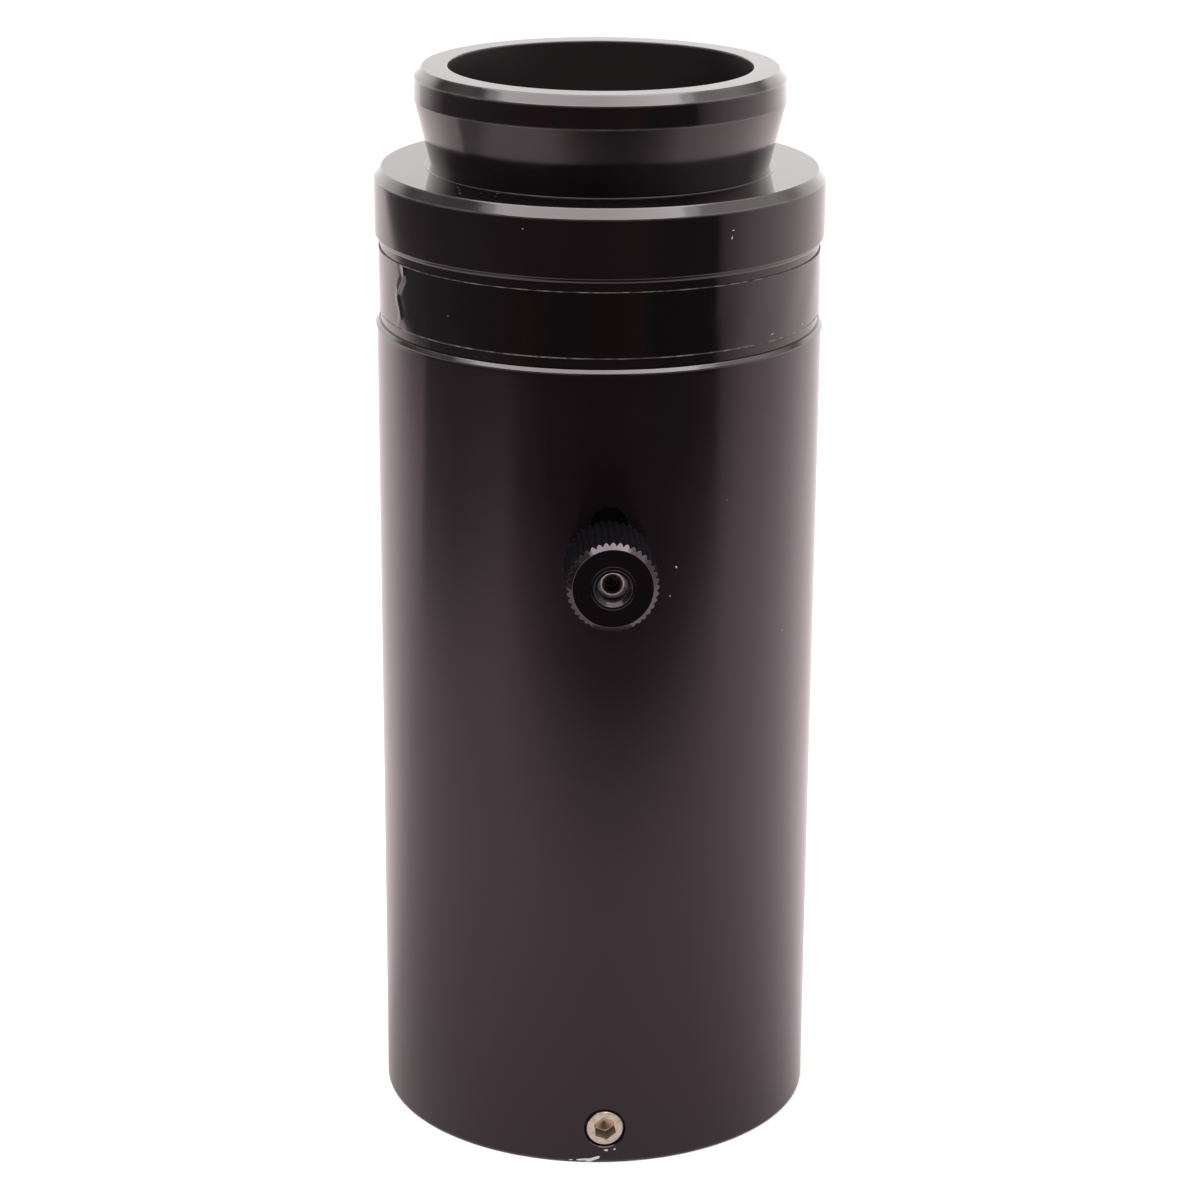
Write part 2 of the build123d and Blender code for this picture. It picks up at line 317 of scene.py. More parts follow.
def turned(name, corners):
    """Lathe-turned mesh from a closed outline of (radius, height, rounding) corners."""
    return skin(name, *rings_of(rounded(corners), SEGMENTS))


def soften(piece):
    """Smooth shading with crisp edges, and flats that stay flat beside small roundings."""
    piece.data.shade_smooth()
    piece.data.set_sharp_from_angle(angle=SHARP_ANGLE)
    modifier = piece.modifiers.new("Flat faces stay flat", "WEIGHTED_NORMAL")
    modifier.keep_sharp = True
    modifier.weight = 80


def new_object(name, data):
    """Puts an object with this data in the scene."""
    item = bpy.data.objects.new(name, data)
    bpy.context.scene.collection.objects.link(item)
    return item


def add_piece(mesh, materials, body, slot, *replaced):
    """Puts a finished mesh in the scene, on its body, in place of the CAD nodes it stands for."""
    piece = new_object(mesh.name, mesh)
    for material in materials:
        mesh.materials.append(material)
    soften(piece)
    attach(piece, body)
    if replaced:
        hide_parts(*replaced)


def cut(mesh, *cutters):
    """Mesh with the cutter meshes taken out of it."""
    work = new_object(mesh.name, mesh)
    tools = [new_object(cutter.name, cutter) for cutter in cutters]
    for tool in tools:
        modifier = work.modifiers.new(tool.name, "BOOLEAN")
        modifier.object = tool
        modifier.solver = "EXACT"
    result = bpy.data.meshes.new_from_object(
        work.evaluated_get(bpy.context.evaluated_depsgraph_get()))
    if len(result.polygons) <= len(mesh.polygons):
        raise RuntimeError(f"{mesh.name} wasn't cut")
    for spent in [work, *tools]:
        bpy.data.objects.remove(spent)
    result.name = mesh.name
    return result


def hexagon(flats):
    """Radius of a hexagon by angle, from its width across flats. It has a corner at angle 0."""
    def radius(angle):
        return flats / 2 / math.cos(angle % (TURN / 6) - TURN / 12)
    return radius


# Materials


def add_node(tree, kind, inputs=(), stops=(), **options):
    """Adds a shader node with its options, and a ramp's (position, colour) stops. An input takes a
    value, a socket, or another node, whose first output it is linked to."""
    node = tree.nodes.new(kind)
    for name, value in options.items():
        setattr(node, name, value)
    for number, (position, tone) in enumerate(stops):
        elements = node.color_ramp.elements
        element = elements[number] if number < len(elements) else elements.new(1.0)
        element.position, element.color = position, tone
    for name, value in dict(inputs).items():
        if isinstance(value, bpy.types.Node):
            value = value.outputs[0]
        if isinstance(value, bpy.types.NodeSocket):
            tree.links.new(value, node.inputs[name])
        else:
            node.inputs[name].default_value = value
    return node


def new_material(name):
    """Empty node material and its node tree."""
    material = bpy.data.materials.new(name)
    material.use_nodes = True
    material.node_tree.nodes.clear()
    return material, material.node_tree


def per_metre(size):
    """Scale that makes a pattern this many millimetres large."""
    return 1 / (size * MM)


def tinted(colour_value, gain=1.0):
    """Colour with alpha for a shader socket, made lighter or darker by a gain."""
    return tuple(min(1.0, channel * gain) for channel in colour_value) + (1.0,)


def turned_anodised_aluminium(name, dye, roughness, axis="Z", line=0.15, tint="ffe8f2", ior=1.66,
                              draw=0.9):
    """Aluminium turned on a lathe, then black anodised: a dark glossy film whose fine tool lines
    run round the piece, so reflections are drawn out along its axis and stay sharp across it. The
    dye is cloudy over 9 mm and the film has a grain of 0.25 mm. Edges are rubbed thin, more so in
    patches 1.2 mm apart. line is the feed of the tool in millimetres, drawn coarser than the real
    0.05 so that it shows, and draw is how far it draws reflections out."""
    rub = 0.06  # most bare metal that a rubbed edge shows
    material, tree = new_material(name)
    place = add_node(tree, "ShaderNodeTexCoord").outputs["Object"]
    split = add_node(tree, "ShaderNodeSeparateXYZ", {0: place})
    tool_marks = add_node(tree, "ShaderNodeTexNoise", {
        "W": split.outputs[axis], "Scale": per_metre(line), "Detail": 2.0, "Roughness": 0.6},
        noise_dimensions="1D")
    cloud, grain, patches = (
        add_node(tree, "ShaderNodeTexNoise",
                 {"Vector": place, "Scale": per_metre(size), "Detail": detail})
        for size, detail in ((9, 4.0), (0.25, 2.0), (1.2, 3.0)))
    film = add_node(tree, "ShaderNodeMix", {
        "Factor": cloud, "A": tinted(dye, 0.8), "B": tinted(dye, 1.2)}, data_type="RGBA")
    edge = add_node(tree, "ShaderNodeAttribute", attribute_name=WEAR)
    chance = add_node(tree, "ShaderNodeMapRange", {
        "Value": patches, "From Min": 0.35, "From Max": 0.75, "To Min": rub / 2, "To Max": rub})
    rubbed = add_node(tree, "ShaderNodeMath", {0: edge.outputs["Fac"], 1: chance},
                      operation="MULTIPLY")
    shade = add_node(tree, "ShaderNodeMix", {
        "Factor": rubbed, "A": film.outputs["Result"], "B": tinted(settings().finishes.bare)},
        data_type="RGBA")
    rough = add_node(tree, "ShaderNodeMapRange", {
        "Value": cloud, "From Min": 0.3, "From Max": 0.7, "To Min": roughness * 0.93,
        "To Max": roughness * 1.07})
    relief = add_node(tree, "ShaderNodeMath", {0: grain, 1: 0.5, 2: tool_marks},
                      operation="MULTIPLY_ADD")
    bump = add_node(tree, "ShaderNodeBump",
                    {"Height": relief, "Strength": 0.3, "Distance": 0.0006 * MM})
    tangent = add_node(tree, "ShaderNodeTangent", direction_type="RADIAL", axis=axis)
    shader = add_node(tree, "ShaderNodeBsdfPrincipled", {
        "Base Color": shade.outputs["Result"], "Roughness": rough, "IOR": ior,
        "Specular Tint": tinted(linear(tint)), "Anisotropic": draw, "Anisotropic Rotation": 0.25,
        "Tangent": tangent, "Normal": bump})
    add_node(tree, "ShaderNodeOutputMaterial", {"Surface": shader})
    return material


def glossy_label_film(name, base):
    """Black polyester film with a glossy face: sharp reflections that ripple where it has lifted.
    The orange peel is 2.2 mm apart and the smears 1.1 mm."""
    material, tree = new_material(name)
    place = add_node(tree, "ShaderNodeTexCoord").outputs["Object"]
    orange_peel = add_node(tree, "ShaderNodeTexNoise",
                           {"Vector": place, "Scale": per_metre(2.2), "Detail": 2.0})
    smears = add_node(tree, "ShaderNodeTexNoise", {
        "Vector": place, "Scale": per_metre(1.1), "Detail": 5.0, "Roughness": 0.75})
    rough = add_node(tree, "ShaderNodeMapRange", {
        "Value": smears, "From Min": 0.35, "From Max": 0.75, "To Min": 0.04, "To Max": 0.1})
    bump = add_node(tree, "ShaderNodeBump",
                    {"Height": orange_peel, "Strength": 0.3, "Distance": 0.02 * MM})
    shader = add_node(tree, "ShaderNodeBsdfPrincipled", {
        "Base Color": tinted(base), "Roughness": rough, "IOR": 1.72,
        "Specular Tint": tinted(linear("fff4f8")), "Normal": bump})
    add_node(tree, "ShaderNodeOutputMaterial", {"Surface": shader})
    return material


def film_edge_with_painted_highlight(name, base):
    """Knife-cut edge of the film and a thin strip of its face beside it: the pale core and lifted
    glue, with a painted highlight along the edge, ragged every 0.7 mm."""
    material, tree = new_material(name)
    place = add_node(tree, "ShaderNodeTexCoord").outputs["Object"]
    ragged = add_node(tree, "ShaderNodeTexNoise",
                      {"Vector": place, "Scale": per_metre(0.7), "Detail": 3.0})
    shade = add_node(tree, "ShaderNodeValToRGB", {"Fac": ragged},
                     [(0.42, tinted(base, 0.06)), (0.62, tinted(base, 0.4))])
    shader = add_node(tree, "ShaderNodeBsdfPrincipled",
                      {"Base Color": shade, "Roughness": 0.45, "IOR": 1.5})
    add_node(tree, "ShaderNodeOutputMaterial", {"Surface": shader})
    return material


def machined_steel(name, base, roughness, wear, metal=1.0, upward_shade=0.0):
    """Turned and broached screw steel: bright, with dark specks of dirt 0.45 mm apart from use. A
    dull oxide lowers metal, and the last argument paints shade on the faces that look up, standing
    in for the dark room that they reflect."""
    material, tree = new_material(name)
    place = add_node(tree, "ShaderNodeTexCoord").outputs["Object"]
    dirt = add_node(tree, "ShaderNodeTexNoise", {
        "Vector": place, "Scale": per_metre(0.45), "Detail": 4.0, "Roughness": 0.7})
    shade = add_node(tree, "ShaderNodeValToRGB", {"Fac": dirt},
                     [(0.30, tinted(base, 1.0 - wear)), (0.52, tinted(base))])
    rough = add_node(tree, "ShaderNodeMapRange", {
        "Value": dirt, "From Min": 0.3, "From Max": 0.7, "To Min": roughness * 1.5,
        "To Max": roughness * 0.8})
    bump = add_node(tree, "ShaderNodeBump",
                    {"Height": dirt, "Strength": 0.4, "Distance": 0.03 * MM})
    # Painted shade: faces that look up are darkened towards black, standing in for the dark room
    # that they reflect.
    facing = add_node(tree, "ShaderNodeNewGeometry").outputs["Normal"]
    upward = add_node(tree, "ShaderNodeSeparateXYZ", {0: facing}).outputs["Z"]
    upward_shade_share = add_node(tree, "ShaderNodeMapRange", {
        "Value": upward, "From Min": 0.1, "From Max": 0.6, "To Max": upward_shade})
    with_upward_shade = add_node(tree, "ShaderNodeMix", {
        "Factor": upward_shade_share, "A": shade, "B": tinted(base, 0.06)}, data_type="RGBA")
    shader = add_node(tree, "ShaderNodeBsdfPrincipled", {
        "Base Color": with_upward_shade.outputs["Result"], "Metallic": metal, "Roughness": rough,
        "Normal": bump})
    add_node(tree, "ShaderNodeOutputMaterial", {"Surface": shader})
    return material


def turned_brass(name, base):
    """Brass parted off in a lathe: a warm metal with faint stains 0.5 mm apart."""
    material, tree = new_material(name)
    place = add_node(tree, "ShaderNodeTexCoord").outputs["Object"]
    stains = add_node(tree, "ShaderNodeTexNoise",
                      {"Vector": place, "Scale": per_metre(0.5), "Detail": 3.0})
    rough = add_node(tree, "ShaderNodeMapRange", {"Value": stains, "To Min": 0.2, "To Max": 0.4})
    shader = add_node(tree, "ShaderNodeBsdfPrincipled",
                      {"Base Color": tinted(base), "Metallic": 1.0, "Roughness": rough})
    add_node(tree, "ShaderNodeOutputMaterial", {"Surface": shader})
    return material


def moulded_nylon(name, base):
    """Moulded black nylon: a soft even sheen with an eggshell texture of 0.25 mm."""
    material, tree = new_material(name)
    place = add_node(tree, "ShaderNodeTexCoord").outputs["Object"]
    eggshell = add_node(tree, "ShaderNodeTexNoise",
                        {"Vector": place, "Scale": per_metre(0.25), "Detail": 2.0})
    bump = add_node(tree, "ShaderNodeBump",
                    {"Height": eggshell, "Strength": 0.4, "Distance": 0.01 * MM})
    shader = add_node(tree, "ShaderNodeBsdfPrincipled", {
        "Base Color": tinted(base), "Roughness": 0.5, "IOR": 1.53, "Normal": bump})
    add_node(tree, "ShaderNodeOutputMaterial", {"Surface": shader})
    return material


def coated_optical_glass(name, tint):
    """Polished lens glass with a thin coating, which turns its reflections faintly green."""
    material, tree = new_material(name)
    shader = add_node(tree, "ShaderNodeBsdfPrincipled", {
        "Base Color": tinted(tint), "Roughness": 0.02, "IOR": 1.52, "Transmission Weight": 1.0,
        "Thin Film Thickness": 420.0, "Thin Film IOR": 1.38})
    add_node(tree, "ShaderNodeOutputMaterial", {"Surface": shader})
    return material


def seamless_paper(name, base):
    """Matt seamless paper with a very faint fibre grain of 1 mm."""
    material, tree = new_material(name)
    place = add_node(tree, "ShaderNodeTexCoord").outputs["Object"]
    fibre = add_node(tree, "ShaderNodeTexNoise",
                     {"Vector": place, "Scale": per_metre(1), "Detail": 3.0})
    shade = add_node(tree, "ShaderNodeMix", {
        "Factor": fibre, "A": tinted(base, 0.985), "B": tinted(base)}, data_type="RGBA")
    shader = add_node(tree, "ShaderNodeBsdfPrincipled", {
        "Base Color": shade.outputs["Result"], "Roughness": 0.9, "Specular IOR Level": 0.1})
    add_node(tree, "ShaderNodeOutputMaterial", {"Surface": shader})
    return material


# Pieces


def tube_mesh(sizes):
    """Body tube with its bores, the clamp's slot and the set screw's hole."""
    lead_in, hidden_edge = 0.3 * MM, 0.1 * MM
    slot_steps, hole_steps = 64, 96
    tube = turned("body_tube_turned", [
        (sizes.coupler_radius + lead_in, 0, hidden_edge),
        (sizes.radius, 0, sizes.edge),
        (sizes.radius, sizes.height, 0),
        (sizes.joint_radius, sizes.height, 0),
        (sizes.joint_radius, sizes.joint_floor, 0),
        (sizes.bore_radius, sizes.joint_floor, hidden_edge),
        (sizes.bore_radius, sizes.coupler_depth, hidden_edge),
        (sizes.coupler_radius, sizes.coupler_depth, 0),
        (sizes.coupler_radius, lead_in, hidden_edge),
    ])
    inside, outside = 0.6 * sizes.radius, 1.2 * sizes.radius  # ends of the cutters

    def slot_ring(depth):
        points = ring(sizes.slot_width / 2, depth, slot_steps)
        for point in points:
            point.y += math.copysign(sizes.slot_travel, point.y)
        return points

    slot = skin("slot_cutter", [slot_ring(inside), slot_ring(outside)])
    slot.transform(outward(sizes.slot_height))
    sink = sizes.screw_sink - sizes.screw_hole
    hole = skin("screw_hole_cutter", [
        ring(sizes.screw_hole, inside, hole_steps),
        ring(sizes.screw_hole, sizes.radius - 2 * sink, hole_steps),
        ring(sizes.screw_sink, sizes.radius - sink, hole_steps),
        ring(sizes.screw_sink, outside, hole_steps),
    ])
    hole.transform(outward(sizes.screw_height))
    return cut(tube, slot, hole)


def head_mesh(sizes):
    """Head with its lip, label seat, bevelled flange and dovetail ring. Its bore takes the second
    material."""
    spigot_end = HEAD_LOW.z
    lip_bottom = TUBE_HIGH.z
    lip_edge = lip_bottom + sizes.lip_height
    lip_top = lip_edge + sizes.lip_bevel
    step_height = sizes.seat_top + sizes.flange_lower_height
    fine, edge, bevel = 0.04 * MM, 0.09 * MM, 0.13 * MM
    land_top = sizes.flange_top + sizes.land_height
    cone_slope = (sizes.rim_radius - sizes.cone_radius) / (sizes.rim_bottom - sizes.flange_top)
    mesh = turned("dovetail_head_turned", [
        (sizes.bore_radius, spigot_end, edge),
        (sizes.spigot_radius, spigot_end, edge),
        (sizes.spigot_radius, lip_bottom, 0),
        (TUBE_HIGH.x, lip_bottom, 0),
        (TUBE_HIGH.x, lip_edge - bevel / 4 - sizes.lip_undercut, 0),
        (sizes.lip_radius, lip_edge - bevel / 4, 0),
        (sizes.lip_radius, lip_edge, 0),
        (sizes.lip_radius - sizes.lip_bevel, lip_top, fine),
        (sizes.seat_radius, lip_top, 0),
        (sizes.seat_radius, sizes.seat_top, 0),
        (sizes.flange_lower_radius - bevel / 2, sizes.seat_top, 0),
        (sizes.flange_lower_radius, sizes.seat_top + bevel, 0),
        (sizes.flange_lower_radius, step_height - bevel, 0),
        (sizes.flange_radius - bevel / 2, step_height - bevel, 0),
        (sizes.flange_radius, step_height, 0),
        (sizes.flange_radius, sizes.flange_edge, edge),
        (sizes.flange_top_radius, sizes.flange_top, edge),
        (sizes.land_radius, sizes.flange_top, 0),
        (sizes.land_radius, land_top, fine),
        (sizes.cone_radius + cone_slope * sizes.land_height, land_top, 0),
        (sizes.rim_radius, sizes.rim_bottom, fine),
        (sizes.rim_radius, sizes.rim_edge, edge),
        (sizes.face_radius, HEAD_HIGH.z, edge),
        (sizes.bore_radius, HEAD_HIGH.z, edge),
    ])
    for face in mesh.polygons:
        face.material_index = 1 if face.center.xy.length < sizes.bore_radius + fine / 2 else 0
    return mesh


def label_mesh(sizes, seat_radius):
    """Label film: a thin band, open at the back, with ripples, a crease and a lifted nick."""
    columns, rows = 960, 18
    lower_border, upper_border = 0.0192, 0.012  # shares of the height, on the film's face, that show the pale cut edge with its painted highlight
    shares = [0, lower_border, *((row + 1) / (rows + 1) for row in range(rows)),
              1 - upper_border, 1]
    lower, upper = LABEL_LOW.z, LABEL_HIGH.z
    gap_angle = sizes.gap / seat_radius
    start = math.pi / 2 + gap_angle / 2
    points, faces = [], []
    for column in range(columns + 1):
        angle = start + (TURN - gap_angle) * column / columns
        front = math.degrees((angle - 3 * math.pi / 2 + math.pi) % TURN - math.pi)
        loop = [(seat_radius, lower)]
        for share in shares:
            loop.append((seat_radius + sizes.thickness + film_relief(sizes, front, share),
                         lower + (upper - lower) * share))
        loop.append((seat_radius, upper))
        points += [(r * math.cos(angle), r * math.sin(angle), z) for r, z in loop]
    count = len(shares) + 2
    for column in range(columns):
        here, there = column * count, (column + 1) * count
        for row in range(count):
            after = (row + 1) % count
            faces.append((here + row, here + after, there + after, there + row))
    faces += [tuple(range(count)), tuple(range(columns * count, (columns + 1) * count))]
    mesh = closed_mesh("label_band_film", points, faces)
    cut_rows = (0, 1, count - 3, count - 2)  # both edges of the film and its borders, which take the pale edge with its painted highlight
    for polygon in mesh.polygons:
        polygon.material_index = 1 if polygon.index % count in cut_rows else 0
    return mesh


def bell(distance, width):
    """Smooth bump that falls to nothing within about twice its width."""
    return math.exp(-(distance / width) ** 2)


def film_relief(sizes, front, share):
    """How far the film stands out, by degrees right of the knob and by share of its height: long
    ripples, a wavy crease near the left end, a faint fold in front and a nick in the upper edge."""
    crease_front, fold_front, nick_front = -66, 0.5, 15.2
    angle = math.radians(front)
    ripple = math.sin(9 * angle + 2.5 * share) + 0.6 * math.sin(23 * angle + 1.3 - 4 * share)
    crease_line = crease_front + 3 * share + 1.5 * math.sin(9 * share)
    crease = bell(front - crease_line, 0.9) * (0.4 + 0.6 * share)
    fold = 0.066 * bell(front - fold_front, 0.35)
    nick = 0.6 * bell(front - nick_front, 0.8) * bell(share - 1, 0.08)
    return sizes.ripple * ripple / 1.6 + sizes.crease * (crease + fold + nick)


def knob_mesh(sizes):
    """Knurled thumb nut: scalloped teeth, bevelled front edge, countersunk tapped hole. The teeth
    and the hole take the second material, and the countersink the third."""
    steps = 8 * sizes.teeth
    back_bevel, edge = 0.06 * MM, 0.015 * MM
    line_radius, line_width = 0.55 * sizes.face_radius, 0.05 * MM  # turned line on the face
    face = sizes.face

    def tooth(angle):
        return sizes.radius - sizes.tooth_depth * (1 - abs(math.cos(sizes.teeth * angle / 2)))

    def bevel_height(angle):
        return face - (tooth(angle) - sizes.face_radius)

    profile = [
        (sizes.bore_radius, sizes.inner_end, 0),
        (lambda a: tooth(a) - back_bevel, sizes.inner_end, 1),
        (tooth, sizes.inner_end + back_bevel, 1),
        (tooth, sizes.inner_end + 2 * back_bevel, 0),
        (tooth, lambda a: bevel_height(a) - 3 * edge, 0),
        (tooth, lambda a: bevel_height(a) - edge, 1),
        (lambda a: tooth(a) - edge, bevel_height, 1),
        (lambda a: tooth(a) - 2 * edge, lambda a: bevel_height(a) + edge, 0),
        (sizes.face_radius + 2 * edge, face - 2.5 * edge, 0),
        (sizes.face_radius + edge, face - 1.5 * edge, 1),
        (sizes.face_radius, face - edge / 2, 1),
        (sizes.face_radius - edge, face, 1),
        (sizes.face_radius - 3 * edge, face, 0),
        (line_radius + 2 * line_width, face, 0),
        (line_radius + line_width, face, 0),
        (line_radius, face - line_width / 3, 0),
        (line_radius - line_width, face, 0),
        (line_radius - 2 * line_width, face, 0),
        (sizes.sink_radius + 3 * edge, face, 0),
        (sizes.sink_radius + edge, face, 1),
        (sizes.sink_radius, face - edge / 2, 1),
        (sizes.sink_radius - edge, face - 1.5 * edge, 0),
        (sizes.mouth_radius, face - sizes.sink_depth, 0),
        (sizes.mouth_radius, face - sizes.mouth_depth, 0),
        (sizes.bore_radius, face - sizes.mouth_depth, 0),
    ]
    flank, countersink, hole = 5, 20, 22  # rows where the materials change
    mesh = skin("clamp_knob_knurled", *rings_of(profile, steps))
    for polygon in mesh.polygons:
        row = polygon.index // steps
        polygon.material_index = 1 if row < flank or row > hole else 2 * (row > countersink)
    mesh.transform(outward(CLAMP_HEIGHT))
    return mesh


def socket_screw_mesh(name, which, height, start, socket):
    """Socket set screw: cut thread, chamfered end with a rounded lip, and a socket that is given as
    (radius, depth) rings from its mouth to its floor. The socket takes the second material. which
    is stud or screw, the name that its sizes have."""
    radius, end, pitch, chamfer, lip, turn = (
        getattr(settings().screws, f"{which}_{part}")
        for part in ("radius", "end", "pitch", "chamfer", "lip", "turn"))
    steps, rows_per_turn = 96, 10
    thread_depth = 0.5 * pitch
    rim = radius - chamfer

    def thread_ring(z):
        def thread_radius(angle):
            phase = (z / pitch - angle / TURN) % 1
            crest = min(1.0, max(0.0, 2.6 * abs(phase - 0.5) - 0.1))  # flat crest and root
            tip = rim + (end - lip - z)
            tail = 0.7 * radius + (z - start)
            return min(radius - thread_depth * (1 - crest) * min(1, 2 * (end - z) / pitch),
                       tip, tail)
        return ring(thread_radius, z, steps)

    rows = max(2, round((end - start) / pitch * rows_per_turn))
    rings = [thread_ring(start + (end - lip - start) * row / rows) for row in range(rows + 1)]
    for share in (0.3, 0.6, 0.8, 1.0):
        rings.append(ring(rim - lip * (1 - math.cos(share * TURN / 4)),
                          end - lip * (1 - math.sin(share * TURN / 4)), steps))
    face_rows = len(rings)
    for wall, depth in socket:
        rings.append(ring(wall, depth, steps))
        for point in rings[-1]:
            point.z = end - point.z
    mesh = skin(name, rings)
    hidden_cap = len(mesh.polygons) - 2
    for face in mesh.polygons:
        in_socket = face.index >= face_rows * steps and face.index != hidden_cap
        face.material_index = 1 if in_socket else 0
    mesh.transform(outward(height) @ Matrix.Rotation(turn, 4, "Z"))
    return mesh


def drill_point(flats, depth):
    """Conical end of the hole that a socket was broached in."""
    return [(0.45 * flats, depth), (0.04 * flats, depth + 0.3 * flats)]


def countersunk_socket(mouth, flats, depth):
    """Hexagon socket below a round 45 degree countersink."""
    wall = hexagon(flats)
    return [(mouth, 0), (wall, lambda angle: mouth - wall(angle)), (wall, depth),
            *drill_point(flats, depth)]


def worn_socket(mouth_flats, flats, depth):
    """Hexagon socket whose walls have opened out towards its mouth."""
    edge = 0.03 * MM
    return [(hexagon(mouth_flats + 2 * edge), 0), (hexagon(mouth_flats), edge),
            (hexagon(flats), depth), *drill_point(flats, depth)]


def flake(surface_radius, front, height, size, width, lean, slope, seed):
    """Points of a small raised chip on the wall, at degrees right of the knob. slope tilts the
    surface that it lies on: 0 on a wall, 90 on a level face."""
    corners = 9
    chance = random.Random(seed)
    angle = math.radians(front) - math.pi / 2
    out = Vector((math.cos(angle), math.sin(angle), 0))
    side = Vector((-out.y, out.x, 0))
    tilt = math.radians(slope)
    normal = out * math.cos(tilt) + Vector((0, 0, 1)) * math.sin(tilt)
    upward = normal.cross(side)
    centre = out * surface_radius + Vector((0, 0, height))
    lean = math.radians(lean)
    along = side * math.cos(lean) + upward * math.sin(lean)
    across = normal.cross(along)
    rim = []
    for step in range(corners):
        turn = TURN * step / corners
        wobble = chance.uniform(0.6, 1.0)
        rim.append(centre + along * (size / 2 * wobble * math.cos(turn))
                   + across * (width / 2 * wobble * math.sin(turn)))
    if slope == 0:
        rim = [Vector((p.x, p.y, 0)).normalized() * surface_radius + Vector((0, 0, p.z))
               for p in rim]
    crown = 0.006 * MM + size ** 2 / (16 * centre.xy.length)  # clears the curve of the wall
    foot = 0.001 * MM
    return [centre + normal * crown] + [p - normal * foot for p in rim]


def flakes_mesh(name, marks):
    """Every chip and nick of one piece as one mesh."""
    points, faces = [], []
    for seed, mark in enumerate(marks):
        first = len(points)
        chip = flake(*mark, seed)
        points += chip
        count = len(chip) - 1
        faces += [(first, first + 1 + step, first + 1 + (step + 1) % count)
                  for step in range(count)]
        faces.append(tuple(range(first + 1, first + 1 + count)))
    return closed_mesh(name, points, faces)


# Stage


# Brightness that reflections meet round the adapter, as (degrees right of the knob's side,
# brightness, tint). White paper lies near, then the table, then the room with its windows behind
# and the dark side where the camera stands.
WARM, NEUTRAL, RED = "fff0f3", "fffcfb", "ffa4a8"
DARK_SIDE = [(-60, 0.065, WARM), (-37, 0.07, RED), (-26, 0.03, WARM), (2, 0.05, RED),
             (20, 0.07, RED), (27, 0.02, NEUTRAL)]
PAPER_LIGHT = [(degrees, brightness, WARM) for degrees, brightness in (
    (-180, 1.20), (-150, 1.38), (-130, 1.45), (-110, 1.06), (-80, 0.92), (-50, 0.92), (0, 0.80),
    (40, 0.86), (60, 0.98), (90, 1.28), (120, 1.60), (150, 1.45), (180, 1.20))]
TABLE_LIGHT = [
    (-180, 0.50, WARM), (-110, 0.50, WARM), (-100, 0.40, WARM), (-80, 0.24, WARM),
    (-64, 0.32, WARM), (-50, 0.22, WARM), (-40, 0.12, RED), (-33, 0.11, RED),
    (-24, 0.03, WARM), (40, 0.02, WARM), (57, 0.04, WARM), (62, 0.36, WARM), (80, 0.80, WARM),
    (100, 1.02, WARM), (125, 1.55, WARM), (150, 1.40, WARM), (180, 1.20, WARM)]
FAR_LIGHT = [
    (-180, 0.60, WARM), (-138, 0.30, WARM), (-122, 0.14, WARM), *DARK_SIDE,
    (57, 0.03, NEUTRAL), (61, 0.32, WARM), (78, 0.78, WARM), (100, 1.05, WARM),
    (120, 1.30, WARM), (150, 1.42, WARM), (180, 1.10, WARM)]
ROOM_LIGHT = [
    (-180, 1.45, NEUTRAL), (-148, 2.00, NEUTRAL), (-134, 1.60, NEUTRAL), (-123, 0.80, WARM),
    (-112, 0.15, WARM), *DARK_SIDE, (55, 0.03, NEUTRAL), (62, 0.28, WARM), (76, 0.60, WARM),
    (100, 0.95, WARM), (115, 1.10, WARM), (133, 2.00, NEUTRAL), (150, 2.20, NEUTRAL),
    (180, 1.45, NEUTRAL)]
UPPER_LIGHT = [(degrees, brightness, NEUTRAL) for degrees, brightness in (
    (-180, 0.35), (-137, 0.20), (-118, 0.55), (-104, 0.40), (-60, 0.30), (0, 0.15), (40, 0.80),
    (70, 1.70), (112, 1.70), (137, 0.20), (180, 0.35))]
BRIGHTEST = 2.4  # brightness that the ramps' white stands for
SOFTBOX_DEPTH = 0.73
SOFTBOX_PLACE = (-0.06, -0.115)  # x and y of both softboxes


def surroundings(tree, sideways, backwards, layers):
    """Colour that is met in each direction round the adapter. Every layer is a list of light stops
    and the (value, start, end) edges inside which it covers the layers before it."""
    forwards = add_node(tree, "ShaderNodeMath", {0: backwards, 1: -1.0}, operation="MULTIPLY")
    angle = add_node(tree, "ShaderNodeMath", {0: sideways, 1: forwards}, operation="ARCTAN2")
    share = add_node(tree, "ShaderNodeMapRange",
                     {"Value": angle, "From Min": -math.pi, "From Max": math.pi})
    seen = tinted((0, 0, 0))
    for stops, edges in layers:
        ramp = add_node(tree, "ShaderNodeValToRGB", {"Fac": share}, [
            ((degrees + 180) / 360, tinted(linear(tint), brightness / BRIGHTEST))
            for degrees, brightness, tint in stops])
        covered = 1.0
        for value, start, end in edges:
            inside = add_node(tree, "ShaderNodeMapRange",
                              {"Value": value, "From Min": start, "From Max": end},
                              interpolation_type="SMOOTHSTEP")
            covered = add_node(tree, "ShaderNodeMath", {0: covered, 1: inside},
                               operation="MULTIPLY")
        seen = add_node(tree, "ShaderNodeMix", {"Factor": covered, "A": seen, "B": ramp},
                        data_type="RGBA").outputs["Result"]
    return seen


def add_plane(name, material, half_size):
    """Level square sheet under the adapter that belongs to the stage."""
    mesh = bpy.data.meshes.new(name)
    corners = [(half_size * x, half_size * y, 0) for x, y in ((-1, -1), (1, -1), (1, 1), (-1, 1))]
    mesh.from_pydata(corners, [], [(0, 1, 2, 3)])
    mesh.materials.append(material)
    sheet = new_object(name, mesh)
    return sheet


def add_floor(stage):
    """Pale floor. The gloss of the metal mirrors the table card instead."""
    paper = seamless_paper("Seamless paper", stage.floor)
    floor = add_plane("floor", paper, half_size=6.0)
    floor.visible_glossy = False


